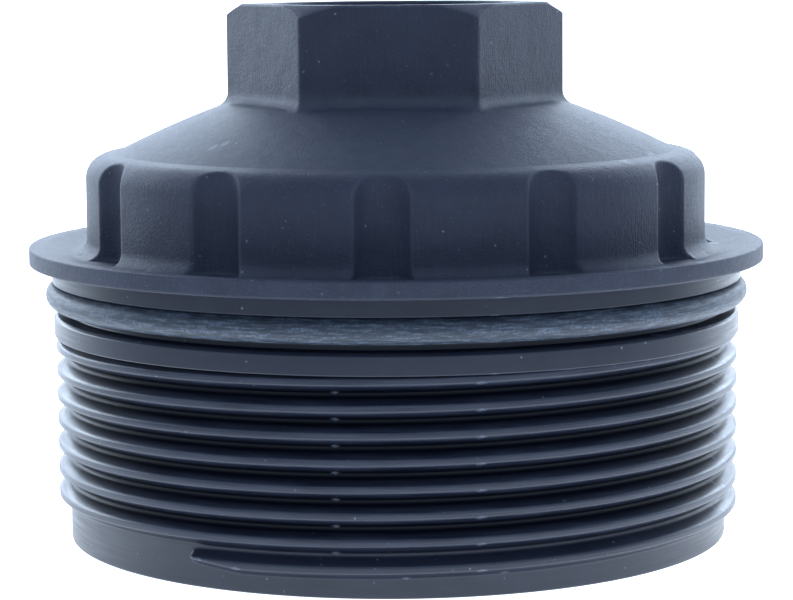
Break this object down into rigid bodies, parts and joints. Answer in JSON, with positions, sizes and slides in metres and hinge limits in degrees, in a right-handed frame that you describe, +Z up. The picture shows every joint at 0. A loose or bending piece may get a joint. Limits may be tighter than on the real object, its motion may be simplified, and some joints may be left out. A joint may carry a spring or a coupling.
{
  "type": "oil filter",
  "caption": "Screw-on oil filter cap with hex head, fluted grip ring, external thread and O-ring, holding a bypass valve and a short pleated cartridge.",
  "frame": {"origin": "centre of the cap's rim plane, on the axis", "axes": "+Z up the axis to the hex; one hex flat and one grip flute face -Y"},
  "size_m": [0.0903, 0.0902, 0.0652],
  "materials": {
    "cap_nylon": "moulded, fine matt grain",
    "seal_rubber": "dull, slightly mottled",
    "valve_nylon": "moulded, satin",
    "poppet_nylon": "moulded, satin",
    "spring_steel": "bright drawn wire",
    "disc_steel": "tin plated sheet",
    "tube_steel": "tin plated sheet",
    "filter_paper": "resin impregnated paper",
    "adhesive": "cured plastisol",
    "glue_bead": "hot melt"
  },
  "bodies": {
    "cartridge": {"bottom_end_disc": "disc_steel", "bottom_grommet": "seal_rubber", "bottom_adhesive": "adhesive", "center_tube": "tube_steel", "pleated_media": "filter_paper", "media_seam_clip": "tube_steel", "pleat_bead_lower": "glue_bead", "pleat_bead_middle": "glue_bead", "pleat_bead_upper": "glue_bead", "top_adhesive": "adhesive", "top_end_disc": "disc_steel", "top_grommet": "seal_rubber"},
    "valve_carrier": {"valve_cage": "valve_nylon", "spring_retainer": "valve_nylon", "bypass_spring": "spring_steel"},
    "bypass_valve": {"bypass_poppet": "poppet_nylon", "poppet_seal": "seal_rubber"},
    "cap": {"cap_shell": "cap_nylon", "cap_o_ring": "seal_rubber", "hub_circlip": "spring_steel"}
  },
  "joints": [
    {"name": "cap_lift", "type": "slide", "parent": "cartridge", "child": "valve_carrier", "axis": [0, 0, 1], "range_m": [0, 0.05]},
    {"name": "cap_turn", "type": "hinge", "parent": "valve_carrier", "child": "cap", "pos_m": [0, 0, 0.0448], "axis": [0, 0, 1], "continuous": true},
    {"name": "bypass_open", "type": "slide", "parent": "valve_carrier", "child": "bypass_valve", "axis": [0, 0, -1], "range_m": [0, 0.0035], "stiffness_N_per_m": 300, "springref_m": -0.0005, "deforming": ["bypass_spring"]}
  ]
}
